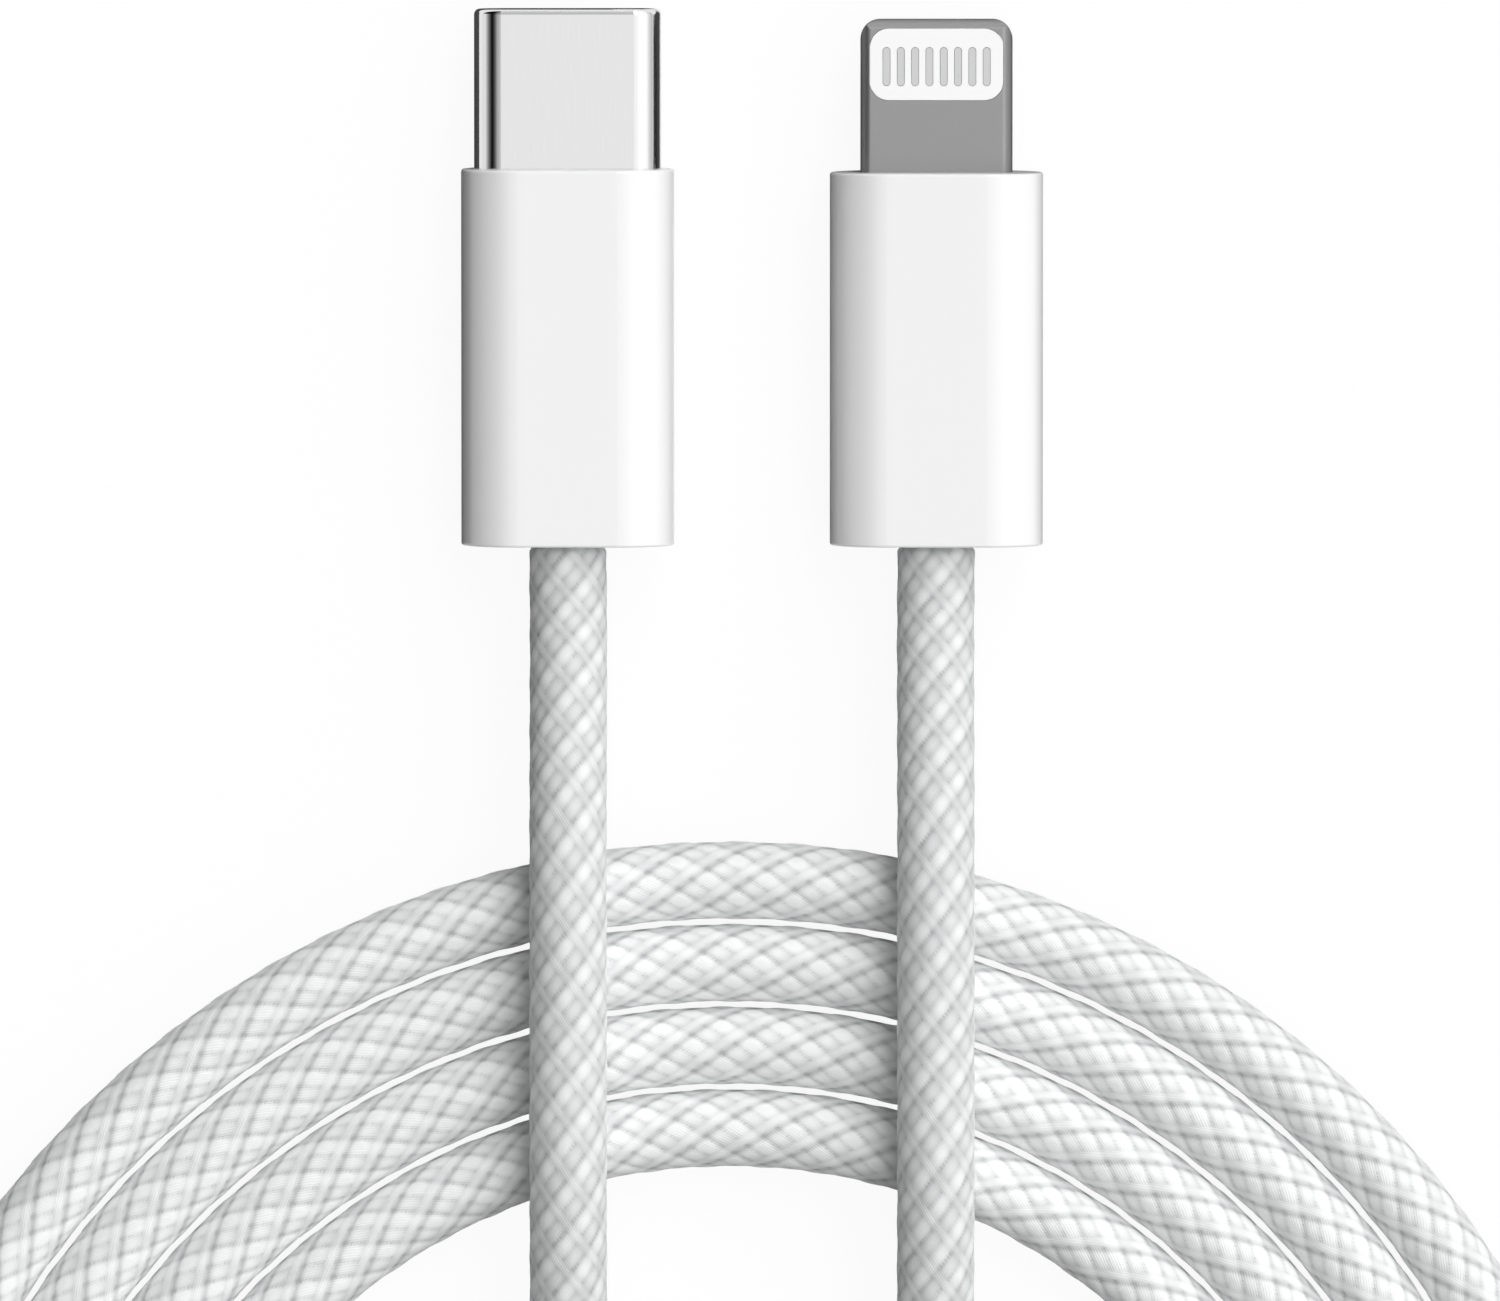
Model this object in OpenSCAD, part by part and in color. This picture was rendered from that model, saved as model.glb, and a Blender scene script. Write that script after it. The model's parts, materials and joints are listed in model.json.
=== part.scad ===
// Charging cable with a flat oval plug and a flat tab plug, lying coiled on a table.
// Millimetres. +Z is up from the table and +Y is the way both plugs point.
// The origin is on the table, midway between the two plugs.

/* [Layout] */
// Distance between the axes of the two plugs
plug_spacing = 16.25; // [12:0.25:30]

/* [Plug housings] */
// How far each housing stands out beyond the oval plug's shell at either side
housing_side = 0.575; // [0.45:0.025:1.2]
// Length of the oval plug's housing
oval_housing_l = 16.6; // [15:0.1:22]
// Length of the tab plug's housing
tab_housing_l = 16.45; // [15:0.05:22]
// Side wall of a housing
housing_wall = 0.5; // [0.4:0.05:0.6]
// Front wall of a housing, which grips the metal shell or tab
front_wall = 2.2; // [1.8:0.1:2.6]
// Rounding of a housing's end edges
housing_edge = 0.12; // [0.1:0.01:0.4]
// Thickness of the cap that closes a housing's rear
cap_t = 1.2; // [0.8:0.1:1.4]
// Depth of the cap's face below the housing's rear edge
cap_recess = 0.15; // [0.05:0.05:0.4]
// Plastic of the cap above and below the cord
cap_rim = 0.275; // [0.25:0.025:0.6]

/* [Oval plug] */
// Outside width of the drawn steel shell
shell_w = 8.25; // [8.15:0.01:8.35]
// Outside thickness of the shell
shell_t = 2.4; // [2.36:0.01:2.5]
// Sheet that the shell is drawn from
shell_wall = 0.3; // [0.25:0.01:0.3]
// Length of shell that stands out of the housing
shell_out = 7.05; // [6.6:0.05:7.6]
// Rounding of the shell's mouth
shell_edge = 0.25; // [0.1:0.05:0.25]
// Depth of the insulator's face inside the mouth
mouth_recess = 0.2; // [0.1:0.05:0.3]
// Insulator left between the shell and each end of the slot for the socket's tongue
slot_side = 0.375; // [0.3:0.025:0.45]
// Height of that slot
slot_t = 0.84; // [0.8:0.01:0.86]
// Depth of that slot
slot_deep = 5.55; // [5.2:0.05:5.8]
// Contacts in each row
contact_count = 12; // [8:1:12]
// Distance between neighbouring contacts
contact_pitch = 0.5; // [0.45:0.01:0.52]
// Width of a contact
contact_w = 0.25; // [0.2:0.01:0.28]
// Strip that the contacts are stamped from
contact_t = 0.15; // [0.1:0.01:0.16]
// How far a contact's tip reaches below its straight part
contact_bow = 0.22; // [0.15:0.01:0.25]
// Length of a contact's solder tail on the board
solder_l = 2; // [1.5:0.1:2.4]
// Sheet of the side latch
latch_t = 0.2; // [0.15:0.01:0.25]
// Width of one latch arm
latch_arm = 0.2; // [0.15:0.01:0.22]
// How far a latch hook reaches inwards
latch_hook = 0.3; // [0.2:0.01:0.35]
// Sheet of the two ground springs
ground_t = 0.08; // [0.05:0.01:0.08]
// Length of a ground spring's plate
ground_l = 3.3; // [2.5:0.1:3.8]
// Distance from a ground spring's plate to the rounding of the shell
ground_side = 0.125; // [0.05:0.025:0.5]
// Width of one ground spring finger
finger_w = 0.7; // [0.5:0.05:0.9]
// Thickness of the oval plug's circuit board
oval_board_t = 0.8; // [0.6:0.05:0.9]

/* [Tab plug] */
// Width of the metal tab
tab_w = 6.7; // [6.6:0.05:6.9]
// Thickness of the tab
tab_t = 1.5; // [1.4:0.05:1.7]
// Length of tab that stands out of the housing
tab_out = 6.75; // [6.5:0.05:7.2]
// Corner radius of the tab's tip
tab_corner = 0.9; // [0.5:0.05:1.2]
// Rounding of the tab's long edges
tab_edge = 0.45; // [0.2:0.05:0.6]
// Metal left beside the contact pad's window
pad_side = 0.4; // [0.36:0.02:0.55]
// Length of that window
pad_l = 3.2; // [3:0.05:3.6]
// Metal rim between the window and the tip
pad_rim = 0.38; // [0.3:0.02:0.6]
// Corner radius of the window
pad_corner = 0.85; // [0.4:0.05:1.1]
// Contacts on each side
bar_count = 8; // [5:1:8]
// Distance between neighbouring contacts
bar_pitch = 0.63; // [0.55:0.01:0.65]
// Width of a contact
bar_w = 0.3; // [0.2:0.02:0.4]
// Length of a contact
bar_l = 1.68; // [1.2:0.02:2]
// Depth of the latching notch in each side
notch_deep = 0.25; // [0.1:0.01:0.3]
// Radius of that notch
notch_r = 0.7; // [0.5:0.05:1]
// Height of that notch, which leaves a lip above and below it
notch_t = 0.7; // [0.5:0.05:0.9]
// Distance from the tip to the notch's middle
notch_back = 1.85; // [1.6:0.05:2.4]
// How far the shoulder that stops the tab stands out beyond it at either side
shoulder_side = 0.25; // [0.1:0.05:0.3]
// How far that shoulder stands out above and below the tab
shoulder_rise = 0.55; // [0.3:0.05:0.7]
// Length of that shoulder
shoulder_l = 0.8; // [0.5:0.05:1.2]
// Thickness of the tab plug's circuit board
tab_board_t = 0.6; // [0.5:0.02:0.7]

/* [Boards and shielding] */
// Thickness of the inner mould round the shield covers
mould_t = 0.4; // [0.3:0.05:0.5]
// Sheet of the shield covers
cover_sheet = 0.2; // [0.15:0.01:0.2]
// Radius of the covers' folded corners
cover_corner = 1.2; // [1:0.05:1.4]
// Clearance between a board and the shield covers
board_gap = 0.2; // [0.1:0.05:0.25]
// Length of the largest chip
chip_l = 2; // [1.6:0.1:2.2]
// Free board in front of the chips and behind them
part_gap = 0.5; // [0.3:0.05:0.6]
// Length of wire that lies on a board
wire_l = 1.2; // [0.8:0.1:1.4]
// Room for the wires between a board and the covers' rear wall
wire_room = 1.4; // [1.2:0.05:1.5]
// Length of the covers' crimp tails
tail_l = 1.6; // [1.2:0.1:1.6]
// Wall of the crimp ring
ring_wall = 0.18; // [0.1:0.01:0.2]
// Clearance round pieces that slide into each other
slip = 0.02; // [0.01:0.005:0.03]

/* [Cord] */
// Diameter of the cord over its woven sleeve
cord_d = 3.45; // [3.2:0.05:3.5]
// Thickness of the woven sleeve
sleeve_t = 0.27; // [0.2:0.01:0.4]
// Diameter of one insulated wire
wire_d = 0.7; // [0.5:0.05:0.75]
// Space between neighbouring loops of the coil, where the cord is widest
turn_space = 0.21; // [0.15:0.02:0.8]
// Gap between the sides of neighbouring loops, which stand in from the widest place
turn_gap = 0.65; // [0.45:0.05:1]
// Radius of the innermost loop, at its top
inner_r = 27.8; // [27:0.1:30]
// How much nearer the lower half of each loop lies
coil_squash = 3; // [0:0.5:6]

/* [Hidden] */
$fn = 48;
over = 1; // how far a cut runs past what it cuts

// Plug housings, each measured from its front face, with -y inside
cord_r = cord_d / 2;
cavity_t = cord_d + 2 * cap_rim;
housing_t = cavity_t + 2 * housing_wall;
housing_w = shell_w + 2 * housing_side;
cavity_w = housing_w - 2 * housing_wall;
span_y = max(oval_housing_l + shell_out, tab_housing_l + tab_out);
rear_y = -span_y / 2;
oval_at = [-plug_spacing / 2, rear_y + oval_housing_l, housing_t / 2];
tab_at = [plug_spacing / 2, rear_y + tab_housing_l, housing_t / 2];

// Shield covers, boards, crimp and cord end, the same in both plugs
cover_w = cavity_w - 2 * mould_t;
cover_t = cavity_t - 2 * mould_t;
board_w = cover_w - 2 * (cover_sheet + board_gap);
neck_l = 1.2; // length of insulator behind the oval plug's front wall
neck_y = -front_wall - neck_l;
board_y = neck_y - solder_l - 2 * part_gap - chip_l - wire_l;
chip_y = board_y + wire_l + part_gap + chip_l / 2;
cover_y = board_y - wire_room;
jacket_in = 0.6; // how far the cord's jacket reaches into the covers
jacket_y = cover_y + jacket_in;
jacket_r = cord_r - sleeve_t;
tail_r = jacket_r + slip + cover_sheet;
tail_y = cover_y - tail_l;
ring_in = 0.2; // how far the crimp ring stands in from both ends of the tails
ring_r = tail_r + slip + ring_wall;
sleeve_back = 0.3; // bare jacket behind the tails
sleeve_y = tail_y - sleeve_back;
wire_gap = 0.1; // between wires that lie side by side
wire_x = wire_d + wire_gap;

// Parts on both faces of a board: width along x, length along y and height
upper_chip = [2.4, chip_l, 0.7];
lower_chip = [2, 0.8 * chip_l, 0.6];
small_body = [0.5, 0.7, 0.42];
small_end = [0.54, 0.2, 0.46];
end_y = 0.4; // from the middle of a small part to its metal ends
chip_x = 1.3; // from the board's middle to a chip's
row_x = 0.9; // from the board's middle to the first small part
row_pitch = 0.85;
row_count = 3;

// Inside of the oval plug's shell
inside_w = shell_w - 2 * shell_wall;
inside_t = shell_t - 2 * shell_wall;
block_w = inside_w - 2 * slip;
block_t = inside_t - 2 * slip;
slot_w = inside_w - 2 * slot_side;
mouth_y = shell_out - mouth_recess;
stop_y = mouth_y - slot_deep;
neck_w = board_w + board_gap;
neck_t = block_t - 2 * slip;
contact_rise = 0.1; // from the slot to the underside of a contact's straight part
groove_side = 0.04; // clearance beside a contact in its groove
groove_end = 0.1; // clearance in front of a contact's tip
groove_w = contact_w + 2 * groove_side;
row_z = slot_t / 2 + contact_rise;
row_top = row_z + contact_t + slip;
touch_deep = 1.85; // depth of a contact's touching point behind the insulator's face
touch_y = mouth_y - touch_deep;
tip_l = 0.45; // length of a contact's turned-up tip
knee_l = 0.7; // length of a contact's bend down to the touching point
finger_deep = 1.15; // depth of the ground springs' front edge
finger_y = mouth_y - finger_deep;
finger_pitch = 1.8;
finger_l = 0.65; // length of a ground spring's bent finger
finger_root = 0.3; // from where a finger joins its plate to the bend
finger_touch = 0.06; // how far a finger reaches into the slot
finger_side = 0.05; // clearance beside a finger in its window
finger_end = 0.1; // clearance before and behind a finger
ground_lift = 0.04; // clearance between a ground spring and the shell
ground_w = inside_w - inside_t - 2 * ground_side;
ground_z = inside_t / 2 - ground_t - ground_lift;
arm_gap = 0.12; // clearance between a latch arm and the shell
arm_x = inside_w / 2 - arm_gap;
bridge_back = 2; // how far the latch runs back from the slot's end
bridge_l = 1.2; // length of its bridge
bridge_y = stop_y - bridge_back;
hook_deep = 1.75; // depth of the latch hooks behind the insulator's face
hook_y = mouth_y - hook_deep;
hook_l = 0.7; // from a hook's middle to the arm's end
hook_flat = 0.1; // half of a hook's blunt tip
hook_slope = 0.5; // from a hook's middle back to where it starts
channel_side = 0.1; // clearance round a latch arm in its channel

// Tab plug
pad_w = tab_w - 2 * pad_side;
pad_y = tab_out - pad_rim - pad_l / 2;
bar_back = 0.1; // how far the contacts lie behind the window's middle
bar_y = pad_y - bar_back;
tongue_side = 0.1; // board beside the outermost contacts
tongue_front = 0.3; // board in front of them
tongue_w = (bar_count - 1) * bar_pitch + bar_w + 2 * tongue_side;
tongue_y = bar_y + bar_l / 2 + tongue_front;
shoulder_y = -front_wall - shoulder_l;

// The coil winds anticlockwise from its inner end and passes its own top four times
coil_x = -0.4;
coil_y = -65.5;
coil_from = -20;
coil_to = 1270;
coil_step = 15;
turn_pitch = cord_d + turn_space;
turn_w = turn_pitch - turn_gap;

// Routes of the two leads: across, along, and height above where the cord rests
oval_route = [
    [-8.1, -15.5, 0.9], [-8.1, -20, 1.9], [-8.1, -24.5, 3.1], [-8.1, -29, 3.6], [-8.1, -34, 3.6],
    [-8.1, -39, 3.6], [-8.1, -44, 2.7], [-8.1, -49, 1.2], [-8.1, -54, 0.2], [-8.1, -59, 0],
    [-8.1, -65, 0], [-8.1, -70.2, 0], [-6.4, -77.2, 0], [-1.9, -82.7, 0], [4.7, -85.6, 0],
    [11.9, -85.3, 0], [18.4, -81.8, 0]
];
tab_route = [
    [8.1, -15.5, 0.9], [8.1, -20, 1.9], [8.1, -24.5, 3.1], [8.1, -29, 3.6], [8.1, -34, 3.6],
    [8.1, -39, 3.6], [8.1, -44, 2.7], [8.1, -49, 1.2], [8.1, -54, 0.2], [8.1, -59, 0],
    [8.1, -65, 0], [8.1, -71.2, 0.2], [6.9, -78.9, 2], [3.2, -85.7, 3.6], [-2.6, -91, 3.6],
    [-9.7, -94.2, 3.6], [-17.5, -94.9, 3.6], [-25, -93, 3], [-31.6, -88.8, 1.2], [-36.4, -82.7, 0.2]
];

// ---- Sections and bars ----

// Flat oval with round ends
module pill(w, t) {
    square([w - t, t], center = true);
    for (side = [-1, 1]) translate([side * (w - t) / 2, 0]) circle(d = t);
}

// Rectangle with round corners
module round_rect(w, l, r) {
    square([w - 2 * r, l], center = true);
    square([w, l - 2 * r], center = true);
    for (x = [-1, 1], y = [-1, 1]) translate([x * (w / 2 - r), y * (l / 2 - r)]) circle(r);
}

// Draws a section, seen from the rear, along the plug from one y to another
module bar(from_y, to_y) {
    translate([0, to_y, 0]) rotate([90, 0, 0]) linear_extrude(to_y - from_y) children();
}

// Draws a side view, y across and z up, as a plate of width w
module side_plate(w) {
    translate([-w / 2, 0, 0]) rotate([90, 0, 90]) linear_extrude(w) children();
}

// Half of the lengthwise section of a bar whose edges are rounded at each end
module edge_profile(t, l, front, back) {
    square([t / 2 - front, l - back]);
    translate([0, front]) square([t / 2, l - front - back]);
    translate([t / 2 - front, front]) circle(front);
    if (back > 0) {
        translate([0, front]) square([t / 2 - back, l - front]);
        translate([t / 2 - back, l - back]) circle(back);
    }
}

// Oval bar that runs back from y = 0, with rounded end edges
module soft_oval_bar(w, t, l, front, back) {
    for (side = [-1, 1]) {
        translate([side * (w - t) / 2, 0, 0]) rotate([90, 0, 0])
            rotate_extrude() edge_profile(t, l, front, back);
    }
    mirror([0, 1, 0]) rotate([0, 90, 0]) linear_extrude(w - t, center = true) {
        edge_profile(t, l, front, back);
        mirror([1, 0]) edge_profile(t, l, front, back);
    }
}

// Bent strip: its lower line, and the same line raised by its thickness
module bent_strip(line, t, w) {
    raised = [for (i = [len(line) - 1:-1:0]) line[i] + [0, t]];
    side_plate(w) polygon(concat(line, raised));
}

module in_oval_plug() {
    translate(oval_at) children();
}

module in_tab_plug() {
    translate(tab_at) children();
}

// ---- Pieces that both plugs have ----

// One-piece sleeve, closed in front but for the opening given as a child
module housing(length) {
    difference() {
        soft_oval_bar(housing_w, housing_t, length, housing_edge, housing_edge);
        bar(-length - over, -front_wall) pill(cavity_w, cavity_t);
        bar(-front_wall - over, over) children();
    }
}

function cap_y(length) = cap_recess + cap_t - length;

module rear_cap(length) {
    bar(cap_y(length) - cap_t, cap_y(length)) difference() {
        pill(cavity_w - 2 * slip, cavity_t - 2 * slip);
        circle(d = cord_d + 2 * slip);
    }
}

// Soft plastic cast round the shielding, the crimp and the end of the cord
module inner_mould(length) {
    difference() {
        bar(cap_y(length), -front_wall) pill(cavity_w - 2 * slip, cavity_t - 2 * slip);
        bar(cover_y, over - front_wall)
            round_rect(cover_w + 2 * slip, cover_t + 2 * slip, cover_corner + slip);
        bar(tail_y, over + cover_y) circle(tail_r + slip);
        bar(tail_y + ring_in, cover_y - ring_in) circle(ring_r + slip);
        bar(sleeve_y - over, tail_y + over) circle(jacket_r + slip);
        bar(-length, sleeve_y) circle(cord_r + slip);
    }
}

// Keeps the upper half of a section
module upper_half(w) {
    intersection() {
        children();
        translate([-w / 2, 0]) square([w, w]);
    }
}

// Upper half of the folded shield, from front_y back to its crimp tail
module shield_cover(front_y) {
    difference() {
        union() {
            bar(cover_y, front_y) upper_half(cover_w) round_rect(cover_w, cover_t, cover_corner);
            bar(tail_y, cover_y + cover_sheet) upper_half(2 * tail_r) circle(tail_r);
        }
        bar(cover_y + cover_sheet, front_y - cover_sheet)
            round_rect(cover_w - 2 * cover_sheet, cover_t - 2 * cover_sheet, cover_corner - cover_sheet);
        bar(front_y - cover_sheet - over, front_y + over)
            square([neck_w + 2 * slip, neck_t + 2 * slip], center = true);
        bar(tail_y - over, over + cover_y) circle(jacket_r + slip);
    }
}

module crimp_ring() {
    bar(tail_y + ring_in, cover_y - ring_in) difference() {
        circle(ring_r);
        circle(tail_r + slip);
    }
}

// Cord inside the plug: bare jacket at the crimp, woven sleeve behind it
module cord_end(length) {
    bar(sleeve_y, jacket_y) circle(jacket_r);
    bar(-length, sleeve_y) circle(cord_r);
}

// Three wires on top of the board and two under it
module wires(board_t) {
    lie_z = (board_t + wire_d) / 2;
    spots = [[-wire_x, lie_z], [0, lie_z], [wire_x, lie_z], [-wire_x / 2, -lie_z], [wire_x / 2, -lie_z]];
    for (p = spots) bar(jacket_y, board_y + wire_l) translate(p) circle(d = wire_d);
}

// Block of a given size soldered flat on the upper face of the board
module on_board(x, y, size, board_t) {
    translate([x - size[0] / 2, y - size[1] / 2, board_t / 2]) cube(size);
}

// Two-terminal part with raised metal ends
module small_part(x, y, board_t) {
    on_board(x, y, small_body, board_t);
    for (end = [-1, 1]) on_board(x, y + end * end_y, small_end, board_t);
}

// A chip with a row of small parts beside it
module chip_row(chip, board_t) {
    on_board(-chip_x, chip_y, chip, board_t);
    for (i = [0:row_count - 1]) small_part(row_x + i * row_pitch, chip_y, board_t);
}

// One row on either face, turned so that each chip lies opposite the small parts
module board_parts(board_t) {
    chip_row(upper_chip, board_t);
    rotate([0, 180, 0]) chip_row(lower_chip, board_t);
}

// ---- Oval plug ----

function contact_x(i) = (i - (contact_count - 1) / 2) * contact_pitch;

module oval_plug_housing() {
    color("white") in_oval_plug() housing(oval_housing_l) pill(shell_w + 2 * slip, shell_t + 2 * slip);
}

module oval_plug_rear_cap() {
    color("gainsboro") in_oval_plug() rear_cap(oval_housing_l);
}

module oval_plug_inner_mould() {
    color("lightgray") in_oval_plug() inner_mould(oval_housing_l);
}

module oval_plug_shell() {
    color("silver") in_oval_plug() difference() {
        translate([0, shell_out, 0]) soft_oval_bar(shell_w, shell_t, shell_out + front_wall, shell_edge, 0);
        bar(-front_wall - over, shell_out + over) pill(inside_w, inside_t);
    }
}

// Lines the shell: slot for the tongue, a groove for each contact, side channels for
// the latch arms, and a recess with finger windows for each ground spring
module oval_plug_front_insulator() {
    channel_t = latch_t + 2 * channel_side;
    channel_y = hook_y + hook_l + channel_side;
    groove_y = touch_y + tip_l + groove_end;
    color("dimgray") in_oval_plug() difference() {
        bar(stop_y, mouth_y) pill(block_w, block_t);
        bar(stop_y - over, mouth_y + over) pill(slot_w, slot_t);
        for (i = [0:contact_count - 1]) {
            translate([contact_x(i) - groove_w / 2, stop_y - over, -row_top])
                cube([groove_w, groove_y - stop_y + over, 2 * row_top]);
        }
        translate([-inside_w / 2, stop_y - over, -channel_t / 2])
            cube([inside_w, channel_y - stop_y + over, channel_t]);
        for (up = [0, 1]) mirror([0, 0, up]) {
            translate([-ground_w / 2 - slip, finger_y - ground_l - slip, ground_z])
                cube([ground_w + 2 * slip, ground_l + 2 * slip, over]);
            for (i = [-1:1]) {
                translate([i * finger_pitch - finger_w / 2 - finger_side, finger_y - finger_end, 0])
                    cube([finger_w + 2 * finger_side, finger_l + 2 * finger_end, over]);
            }
        }
    }
}

// Holds both rows of contacts and the bridge of the latch
module oval_plug_rear_insulator() {
    hole_w = contact_w + 2 * slip;
    hole_t = contact_t + 2 * slip;
    color("dimgray") in_oval_plug() difference() {
        union() {
            bar(-front_wall, stop_y) pill(block_w, block_t);
            bar(neck_y, -front_wall) square([neck_w, neck_t], center = true);
        }
        for (i = [0:contact_count - 1], up = [-1, 1]) {
            translate([contact_x(i), 0, up * (row_z + contact_t / 2)])
                bar(neck_y - over, stop_y + over) square([hole_w, hole_t], center = true);
        }
        translate([-arm_x - slip, bridge_y, -latch_t / 2 - slip])
            cube([2 * (arm_x + slip), stop_y - bridge_y + over, latch_t + 2 * slip]);
    }
}

// Twelve springs with a flat solder tail, a straight middle and a bowed tip
module oval_plug_upper_contacts() {
    tail_z = oval_board_t / 2;
    line = [
        [neck_y - solder_l, tail_z], [neck_y - solder_l / 4, tail_z], [neck_y, row_z],
        [stop_y + tip_l, row_z], [touch_y - knee_l, row_z - contact_bow / 4],
        [touch_y, row_z - contact_bow], [touch_y + tip_l, row_z - contact_bow / 4]
    ];
    color("goldenrod") in_oval_plug() for (i = [0:contact_count - 1]) {
        translate([contact_x(i), 0, 0]) bent_strip(line, contact_t, contact_w);
    }
}

module oval_plug_lower_contacts() {
    translate([0, 0, housing_t]) mirror([0, 0, 1]) oval_plug_upper_contacts();
}

// One stamped sheet: a bridge across the plug and a hooked arm along each side
module oval_plug_side_latch() {
    inner_x = arm_x - latch_arm;
    hook_x = inner_x - latch_hook;
    half = [
        [arm_x, bridge_y], [arm_x, hook_y + hook_l], [inner_x, hook_y + hook_l],
        [hook_x, hook_y + hook_flat], [hook_x, hook_y - hook_flat], [inner_x, hook_y - hook_slope],
        [inner_x, bridge_y + bridge_l]
    ];
    mirrored = [for (i = [len(half) - 1:-1:0]) [-half[i][0], half[i][1]]];
    color("silver") in_oval_plug() linear_extrude(latch_t, center = true) polygon(concat(half, mirrored));
}

// Thin plate against the shell with three fingers that bend into the slot
module oval_plug_upper_ground_spring() {
    turn_z = slot_t / 2 + ground_t;
    finger = [
        [finger_y - finger_root, ground_z], [finger_y, ground_z], [finger_y + 0.4 * finger_l, turn_z],
        [finger_y + 0.7 * finger_l, slot_t / 2 - finger_touch], [finger_y + finger_l, turn_z]
    ];
    color("silver") in_oval_plug() {
        translate([-ground_w / 2, finger_y - ground_l, ground_z]) cube([ground_w, ground_l, ground_t]);
        for (i = [-1:1]) translate([i * finger_pitch, 0, 0]) bent_strip(finger, ground_t, finger_w);
    }
}

module oval_plug_lower_ground_spring() {
    translate([0, 0, housing_t]) mirror([0, 0, 1]) oval_plug_upper_ground_spring();
}

module oval_plug_circuit_board() {
    color("seagreen") in_oval_plug()
        bar(board_y, neck_y) square([board_w, oval_board_t], center = true);
}

module oval_plug_board_parts() {
    color("black") in_oval_plug() board_parts(oval_board_t);
}

module oval_plug_upper_cover() {
    color("silver") in_oval_plug() shield_cover(-front_wall);
}

module oval_plug_lower_cover() {
    color("silver") in_oval_plug() mirror([0, 0, 1]) shield_cover(-front_wall);
}

module oval_plug_crimp_ring() {
    color("silver") in_oval_plug() crimp_ring();
}

module oval_plug_cord_end() {
    color("whitesmoke") in_oval_plug() cord_end(oval_housing_l);
}

module oval_plug_wires() {
    color("firebrick") in_oval_plug() wires(oval_board_t);
}

// ---- Tab plug ----

module tab_plug_housing() {
    color("white") in_tab_plug() housing(tab_housing_l)
        round_rect(tab_w + 2 * slip, tab_t + 2 * slip, tab_edge);
}

module tab_plug_rear_cap() {
    color("gainsboro") in_tab_plug() rear_cap(tab_housing_l);
}

module tab_plug_inner_mould() {
    color("lightgray") in_tab_plug() inner_mould(tab_housing_l);
}

// Rounded bar from behind the front wall to the tab's tip, in plan or from the side
module tab_outline(w, r) {
    length = front_wall + tab_out + 2 * r;
    translate([0, tab_out - length / 2]) round_rect(w, length, r);
}

// Cast frame: a round-edged tab with a window for the contact pad on both faces, a
// latching notch in each side, a passage for the board and a shoulder in the housing
module tab_plug_frame() {
    color("darkgray") in_tab_plug() difference() {
        union() {
            intersection() {
                linear_extrude(tab_t, center = true) tab_outline(tab_w, tab_corner);
                bar(-front_wall, tab_out) round_rect(tab_w, tab_t, tab_edge);
                side_plate(tab_w) rotate(-90) tab_outline(tab_t, tab_edge);
            }
            bar(shoulder_y, -front_wall) pill(tab_w + 2 * shoulder_side, tab_t + 2 * shoulder_rise);
        }
        linear_extrude(tab_t + over, center = true)
            translate([0, pad_y]) round_rect(pad_w, pad_l, pad_corner);
        bar(shoulder_y - over, pad_y) square([tongue_w + 2 * slip, tab_board_t + 2 * slip], center = true);
        for (side = [-1, 1]) {
            translate([side * (tab_w / 2 - notch_deep + notch_r), tab_out - notch_back, 0])
                cylinder(h = notch_t, r = notch_r, center = true);
        }
    }
}

function bar_x(i) = (i - (bar_count - 1) / 2) * bar_pitch;

// Plastic block that fills the window, level with both faces of the tab
module tab_plug_contact_pad() {
    color("white") in_tab_plug() difference() {
        linear_extrude(tab_t, center = true) translate([0, pad_y])
            round_rect(pad_w - 2 * slip, pad_l - 2 * slip, pad_corner - slip);
        bar(pad_y - pad_l, tongue_y) square([tongue_w + 2 * slip, tab_board_t + 2 * slip], center = true);
        for (i = [0:bar_count - 1]) {
            translate([bar_x(i), bar_y, 0]) linear_extrude(tab_t + over, center = true)
                rotate(90) pill(bar_l + 2 * slip, bar_w + 2 * slip);
        }
    }
}

// Round-ended contact bars that stand on the board's tongue
module tab_plug_upper_contacts() {
    color("silver") in_tab_plug() for (i = [0:bar_count - 1]) {
        translate([bar_x(i), bar_y, tab_board_t / 2]) linear_extrude((tab_t - tab_board_t) / 2)
            rotate(90) pill(bar_l, bar_w);
    }
}

module tab_plug_lower_contacts() {
    translate([0, 0, housing_t]) mirror([0, 0, 1]) tab_plug_upper_contacts();
}

// Board with a narrow tongue that runs out through the frame into the contact pad
module tab_plug_circuit_board() {
    color("seagreen") in_tab_plug() {
        bar(board_y, shoulder_y) square([board_w, tab_board_t], center = true);
        bar(shoulder_y - over, tongue_y) square([tongue_w, tab_board_t], center = true);
    }
}

module tab_plug_board_parts() {
    color("black") in_tab_plug() board_parts(tab_board_t);
}

module tab_plug_upper_cover() {
    color("silver") in_tab_plug() shield_cover(shoulder_y);
}

module tab_plug_lower_cover() {
    color("silver") in_tab_plug() mirror([0, 0, 1]) shield_cover(shoulder_y);
}

module tab_plug_crimp_ring() {
    color("silver") in_tab_plug() crimp_ring();
}

module tab_plug_cord_end() {
    color("whitesmoke") in_tab_plug() cord_end(tab_housing_l);
}

module tab_plug_wires() {
    color("firebrick") in_tab_plug() wires(tab_board_t);
}

// ---- Cord ----

function unit(v) = v / norm(v);

// Centre of the cord at an angle along the coil, counted on through every loop
function coil_point(a) =
    let (r = inner_r + turn_pitch * (a - 90) / 360, flat = sin(a) < 0 ? coil_squash : 0)
    [coil_x + r * cos(a), coil_y + (r - flat) * sin(a), cord_r];

function coil_heading(a) = unit(coil_point(a + 0.1) - coil_point(a - 0.1));

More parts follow.
